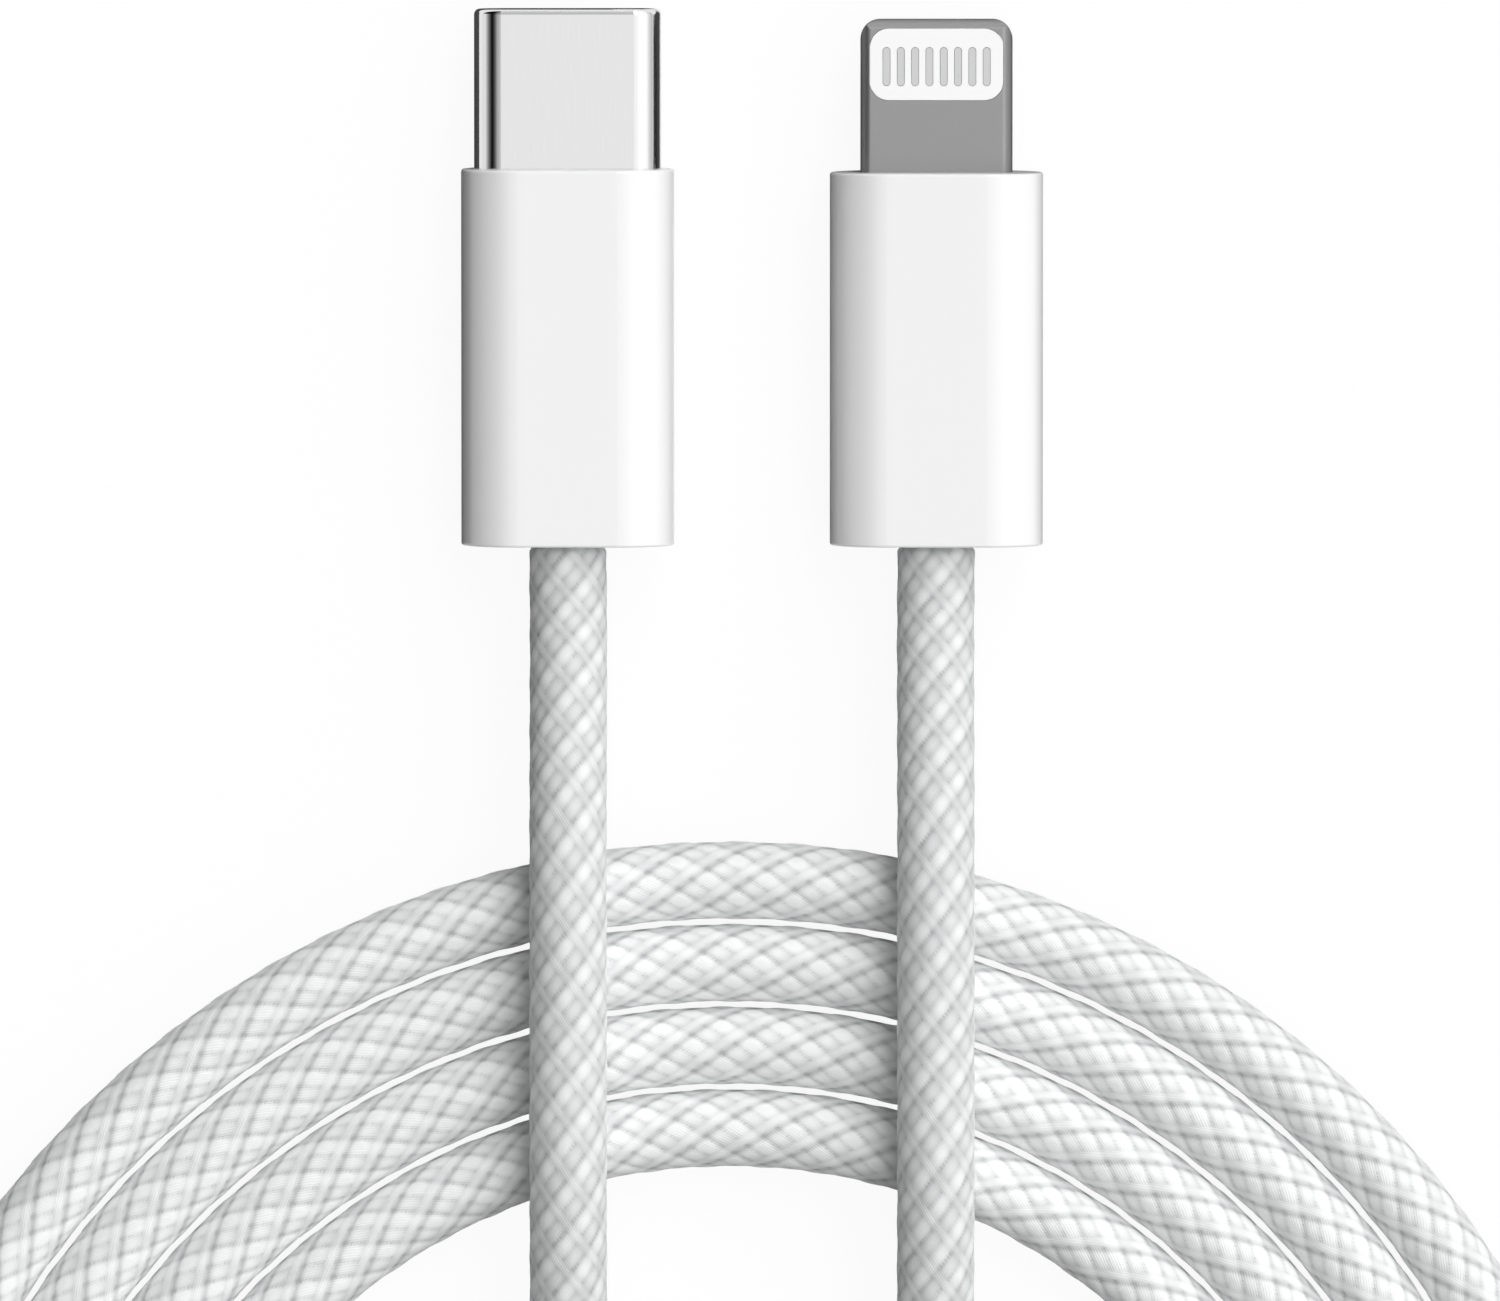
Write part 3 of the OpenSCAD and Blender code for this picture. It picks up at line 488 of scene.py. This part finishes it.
def workedMetal(name, look):
    # Drawn, stamped or plated metal: fine lines along the way it was worked, seen as streaks in the
    # gloss, and a slight change of tone from place to place
    material, tree = newMaterial(name)
    place = addNode(tree, "ShaderNodeTexCoord")
    stretch = addNode(tree, "ShaderNodeMapping", {"Scale": look["stretch"]}, {0: place.outputs["Object"]})
    lines = addNode(
        tree, "ShaderNodeTexNoise", {"Scale": 1 / (look["lineMm"] * mm), "Detail": 3.0},
        {0: stretch.outputs[0]},
    )
    least, most = (look["roughness"] * share for share in working["roughness"])
    rough = addNode(tree, "ShaderNodeMapRange", {"To Min": least, "To Max": most}, {0: lines.outputs[0]})
    tone = addNode(
        tree, "ShaderNodeMapRange", {"To Min": working["tone"][0], "To Max": working["tone"][1]},
        {0: lines.outputs[0]},
    )
    colour = addNode(
        tree, "ShaderNodeVectorMath", {"operation": "SCALE", 0: hexLinear(look["colour"])[:3]},
        {"Scale": tone.outputs[0]},
    ).outputs[0]
    bump = addNode(
        tree, "ShaderNodeBump", {"Strength": look["bump"], "Distance": working["lineDepth"]},
        {"Height": lines.outputs[0]},
    )
    if "rim" in look:
        # painted shade: the rounded rim, where the surface turns away from straight up, takes a darker colour
        # than the flats
        facing = addNode(tree, "ShaderNodeSeparateXYZ", links={0: place.outputs["Normal"]})
        flat = addNode(tree, "ShaderNodeMath", {"operation": "ABSOLUTE"}, {0: facing.outputs["Z"]})
        unshadedShare = addNode(
            tree, "ShaderNodeMapRange", {"From Min": look["rimEnds"][0], "From Max": look["rimEnds"][1]},
            {0: flat.outputs[0]},
        )
        colour = addNode(
            tree, "ShaderNodeMix", {"data_type": "RGBA", 6: hexLinear(look["rim"])},
            {0: unshadedShare.outputs[0], 7: colour},
        ).outputs[2]
    shader = addNode(
        tree, "ShaderNodeBsdfPrincipled", {"Metallic": 1.0},
        {"Base Color": colour, "Roughness": rough.outputs[0], "Normal": bump.outputs[0]},
    )
    closeMaterial(tree, shader)
    return material


plastics = {
    "housing_plastic": ("mouldedPolycarbonate", {
        "colour": "#F6F6F6", "roughness": 0.25, "ior": 1.585, "grainMm": 0.6, "mottle": 0.006, "bump": 0.04,
    }),
    "cap_plastic": ("mouldedCapPolycarbonate", {
        "colour": "#DCDCDE", "roughness": 0.5, "ior": 1.585, "grainMm": 0.1, "mottle": 0.015, "bump": 0.3,
    }),
    "mould_plastic": ("castPolyethylene", {
        "colour": "#E4E4E2", "roughness": 0.55, "ior": 1.51, "grainMm": 0.3, "mottle": 0.03, "bump": 0.3,
    }),
    "insulator_plastic": ("mouldedCrystalPolymer", {
        "colour": "#222326", "roughness": 0.45, "ior": 1.6, "grainMm": 0.08, "mottle": 0.05, "bump": 0.2,
    }),
    "pad_plastic": ("mouldedContactPad", {
        "colour": "#FDFDFD", "roughness": 0.3, "ior": 1.55, "grainMm": 0.5, "mottle": 0.003, "bump": 0.04,
    }),
    "chip_resin": ("mouldedEpoxy", {
        "colour": "#1C1C1D", "roughness": 0.6, "ior": 1.55, "grainMm": 0.05, "mottle": 0.05, "bump": 0.4,
    }),
    "board_laminate": ("glassFibreLaminate", {
        "colour": "#15543A", "roughness": 0.35, "ior": 1.55, "grainMm": 0.4, "mottle": 0.06, "bump": 0.3,
    }),
    "cord_jacket": ("extrudedElastomer", {
        "colour": "#E4E4E4", "roughness": 0.6, "ior": 1.5, "grainMm": 0.2, "mottle": 0.02, "bump": 0.3,
    }),
    "wire_insulation": ("extrudedPolyolefin", {
        "colour": "#B02A26", "roughness": 0.4, "ior": 1.5, "grainMm": 0.2, "mottle": 0.03, "bump": 0.2,
    }),
}
metals = {
    "shell_steel": ("drawnStainlessSteel", {
        "colour": "#E6E6E7", "roughness": 0.09, "lineMm": 0.05, "stretch": (1, 0.03, 1), "bump": 0.1,
    }),
    "frame_steel": ("castStainlessSteel", {
        # rim is the painted shade colour of the rounded rim, and rimEnds is where it fades into the flats
        "colour": "#A2A2A3", "rim": "#8A8A8B", "rimEnds": (0.93, 0.995), "roughness": 0.52,
        "lineMm": 0.06, "stretch": (1, 0.4, 1), "bump": 0.3,
    }),
    "bar_plating": ("platedContactBars", {
        "colour": "#D6D6D7", "roughness": 0.3, "lineMm": 0.06, "stretch": (1, 0.1, 1), "bump": 0.06,
    }),
    "gold_plating": ("goldPlatedBronze", {
        "colour": "#EACB84", "roughness": 0.22, "lineMm": 0.05, "stretch": (1, 0.1, 1), "bump": 0.2,
    }),
    "spring_steel": ("stampedSpringSteel", {
        "colour": "#CFCFD0", "roughness": 0.25, "lineMm": 0.06, "stretch": (0.1, 1, 1), "bump": 0.2,
    }),
    "cover_steel": ("tinnedSheet", {
        "colour": "#C9CACB", "roughness": 0.4, "lineMm": 0.3, "stretch": (1, 1, 1), "bump": 0.3,
    }),
}


def dressNodes():
    made = {slot: mouldedPlastic(*entry) for slot, entry in plastics.items()}
    made.update({slot: workedMetal(*entry) for slot, entry in metals.items()})
    made["woven_sleeve"] = wovenPolyester()
    for part in frame["record"]["subparts"]:
        node = frame["nodes"][part["node"]]
        node.data.materials.clear()
        node.data.materials.append(made[part["material_slot"]])
    for piece in sleeves:
        piece.data.materials.append(made["woven_sleeve"])
    print("materials made:", len(made))


dressNodes()


# ---- floor and light ----
floorLook = {
    "reach": 30.0,            # radius of its flat part, in metres, and the height of its wall
    "wall": 2.4,
    "drop": 0.02 * mm,        # how far it lies below the cord
    "rings": (0.5, 5),        # radii of the rings of its flat part
    "sides": 96,
    "rimSteps": 8,
    "glow": 0.93,             # share of its own light in what is seen of it; the rest takes shadows
    "bounce": "#6C6C6C",      # grey of the light that it throws back on the object
}
sky = {
    # brightness at angles from straight up, towards +X positive, in degrees
    "arc": [(-66, 0.0), (-50, 0.01), (-34, 0.01), (-24, 0.15), (-14, 0.55), (-6, 0.86), (-1, 0.99),
            (5, 1.05), (14, 1.14), (24, 1.34), (56, 1.24), (66, 0.9), (80, 0.65), (90, 0.35)],
    # share of it from the -Y horizon to the +Y horizon
    "length": [(-1, 0.45), (-0.35, 0.5), (-0.22, 1.0), (0.15, 1.0), (0.3, 0.55), (1, 0.7)],
    # two more boxes high on the right, beyond both ends, which the flat metal doesn't reflect
    "boxArc": [(3, 0.0), (12, 1.5), (34, 1.5), (55, 0.3), (90, 0.1)],
    "boxLength": [(-1, 0.7), (-0.3, 0.7), (-0.2, 0.0), (0.15, 0.0), (0.25, 1.2), (0.5, 1.9), (1, 2.6)],
    # a low strip on the left, which only the round side of the metal reflects
    "stripArc": [(-90, 0.75), (-80, 0.92), (-71, 0.95), (-62, 0.5), (-52, 0.16), (-42, 0.0)],
    "stripLength": [(-0.4, 0.0), (-0.25, 1.0), (0.25, 1.0), (0.4, 0.0)],
}
# painted reflections: cards seen only in the gloss of the metal of the plugs: middle x and y, width and
# length in millimetres, and colour
reflectionCards = [
    (-14.3, 1.0, 16.4, 27, "#505050"),
    (-4.0, 8.2, 4.2, 12, "#F0F0F0"),
    (3.6, 1.0, 11, 27, "#505050"),
    (14.2, 1.0, 10, 27, "#4C4C4C"),
]


def whiteFloor():
    # Matt white paper. What the camera and any gloss see of it glows, so that it stays white with a
    # light shadow, and the light that it throws back on the object is that of a grey table.
    material, tree = newMaterial("whitePaper")
    path = addNode(tree, "ShaderNodeLightPath")
    seen = path.outputs["Is Camera Ray"]
    for kind in ("Is Glossy Ray", "Is Transmission Ray"):
        seen = addNode(
            tree, "ShaderNodeMath", {"operation": "MAXIMUM"}, {0: seen, 1: path.outputs[kind]}
        ).outputs[0]
    glow = addNode(tree, "ShaderNodeEmission", {"Color": (1, 1, 1, 1), "Strength": 1.0})
    paper = addNode(tree, "ShaderNodeBsdfDiffuse", {"Color": hexLinear("#FFFFFF")})
    table = addNode(tree, "ShaderNodeBsdfDiffuse", {"Color": hexLinear(floorLook["bounce"])})
    shown = addNode(
        tree, "ShaderNodeMixShader", {0: floorLook["glow"]},
        {1: paper.outputs[0], 2: glow.outputs[0]},
    )
    both = addNode(
        tree, "ShaderNodeMixShader", links={0: seen, 1: table.outputs[0], 2: shown.outputs[0]}
    )
    closeMaterial(tree, both)
    return material


def makeFloor():
    # A round floor whose rim turns up into a low wall: a profile turned about the upright axis
    turn = np.linspace(0, 2 * math.pi, floorLook["sides"] + 1)[:-1]
    bend = np.linspace(0, math.pi / 2, floorLook["rimSteps"] + 1)
    rim, reach, flat = floorLook["wall"] / 2, floorLook["reach"], floorLook["rings"]
    radii = np.concatenate([flat, reach + rim * np.sin(bend), [reach + rim]])
    heights = np.concatenate([np.zeros(len(flat)), rim * (1 - np.cos(bend)), [floorLook["wall"]]])
    heights = np.tile(heights[:, None] - floorLook["drop"], (1, len(turn)))
    grid = np.stack([np.outer(radii, np.cos(turn)), np.outer(radii, np.sin(turn)), heights], axis=-1)
    index = np.arange(grid.shape[0] * grid.shape[1]).reshape(grid.shape[:2])
    ahead = np.roll(index, -1, axis=1)
    quads = np.stack([index[:-1], index[1:], ahead[1:], ahead[:-1]], axis=-1).reshape(-1, 4)
    middle = index.size
    fan = [(middle, int(index[0, k]), int(ahead[0, k])) for k in range(len(turn))]
    mesh = bpy.data.meshes.new("floor")
    mesh.from_pydata([*grid.reshape(-1, 3).tolist(), (0, 0, -floorLook["drop"])], [], quads.tolist() + fan)
    mesh.materials.append(whiteFloor())
    floor = bpy.data.objects.new("floor", mesh)
    bpy.context.scene.collection.objects.link(floor)


def makeReflectionCards():
    # Painted reflections: grey cards lying beside and under the metal of the plugs, seen only in its gloss,
    # so that the metal shows dark where it faces the shaded floor beside it, and lighter at the one pale card
    for number, (x, y, width, length, colour) in enumerate(reflectionCards):
        material, tree = newMaterial(f"reflectionCard{number}")
        closeMaterial(tree, addNode(tree, "ShaderNodeBsdfDiffuse", {"Color": hexLinear(colour)}))
        corners = [
            ((x + side * width / 2) * mm, (y + end * length / 2) * mm, -floorLook["drop"] / 2)
            for side, end in ((-1, -1), (1, -1), (1, 1), (-1, 1))
        ]
        mesh = bpy.data.meshes.new(f"card_{number}")
        mesh.from_pydata(corners, [], [(0, 1, 2, 3)])
        mesh.materials.append(material)
        card = bpy.data.objects.new(f"card_{number}", mesh)
        bpy.context.scene.collection.objects.link(card)
        card.visible_camera = False
        card.visible_diffuse = False
        card.visible_shadow = False
        card.visible_transmission = False


def rampNode(tree, source, low, high, stops, peak):
    # A curve of brightness through the stops, as grey levels of a colour ramp
    share = addNode(tree, "ShaderNodeMapRange", {"From Min": low, "From Max": high}, {0: source})
    ramp = addNode(tree, "ShaderNodeValToRGB", links={0: share.outputs[0]})
    elements = ramp.color_ramp.elements
    while len(elements) < len(stops):
        elements.new(0.5)
    for element, (place, value) in zip(elements, stops):
        element.position = (place - low) / (high - low)
        element.color = (value / peak,) * 3 + (1,)
    return ramp


def makeSky():
    # A studio as one sky: a long soft box high on the right, black on the left but for a low strip
    world = bpy.data.worlds.new("studio")
    world.use_nodes = True
    tree = world.node_tree
    tree.nodes.clear()
    place = addNode(tree, "ShaderNodeTexCoord")
    way = addNode(tree, "ShaderNodeSeparateXYZ", links={0: place.outputs["Generated"]})
    angle = addNode(
        tree, "ShaderNodeMath", {"operation": "ARCTAN2"}, {0: way.outputs["X"], 1: way.outputs["Z"]}
    )
    degrees = addNode(tree, "ShaderNodeMath", {"operation": "DEGREES"}, {0: angle.outputs[0]})
    # each of the three lights is the product of its curve across and its curve along
    parts = []
    for arc, length in (("arc", "length"), ("boxArc", "boxLength"), ("stripArc", "stripLength")):
        peak = [max(value for _, value in sky[key]) for key in (arc, length)]
        across = rampNode(tree, degrees.outputs[0], -90, 90, sky[arc], peak[0])
        along = rampNode(tree, way.outputs["Y"], -1, 1, sky[length], peak[1])
        product = addNode(
            tree, "ShaderNodeVectorMath", {"operation": "MULTIPLY"},
            {0: across.outputs[0], 1: along.outputs[0]},
        )
        parts.append(addNode(
            tree, "ShaderNodeVectorMath", {"operation": "SCALE", "Scale": peak[0] * peak[1]},
            {0: product.outputs[0]},
        ))
    total = parts[0]
    for part in parts[1:]:
        total = addNode(
            tree, "ShaderNodeVectorMath", {"operation": "ADD"},
            {0: total.outputs[0], 1: part.outputs[0]},
        )
    light = addNode(tree, "ShaderNodeBackground", {"Strength": 1.0}, {0: total.outputs[0]})
    addNode(tree, "ShaderNodeOutputWorld", links={0: light.outputs[0]})
    world.cycles.sampling_method = "MANUAL"
    world.cycles.sample_map_resolution = 1024
    bpy.context.scene.world = world


makeFloor()
makeReflectionCards()
makeSky()
bpy.context.scene.view_settings.view_transform = "Standard"
print("floor and light made")
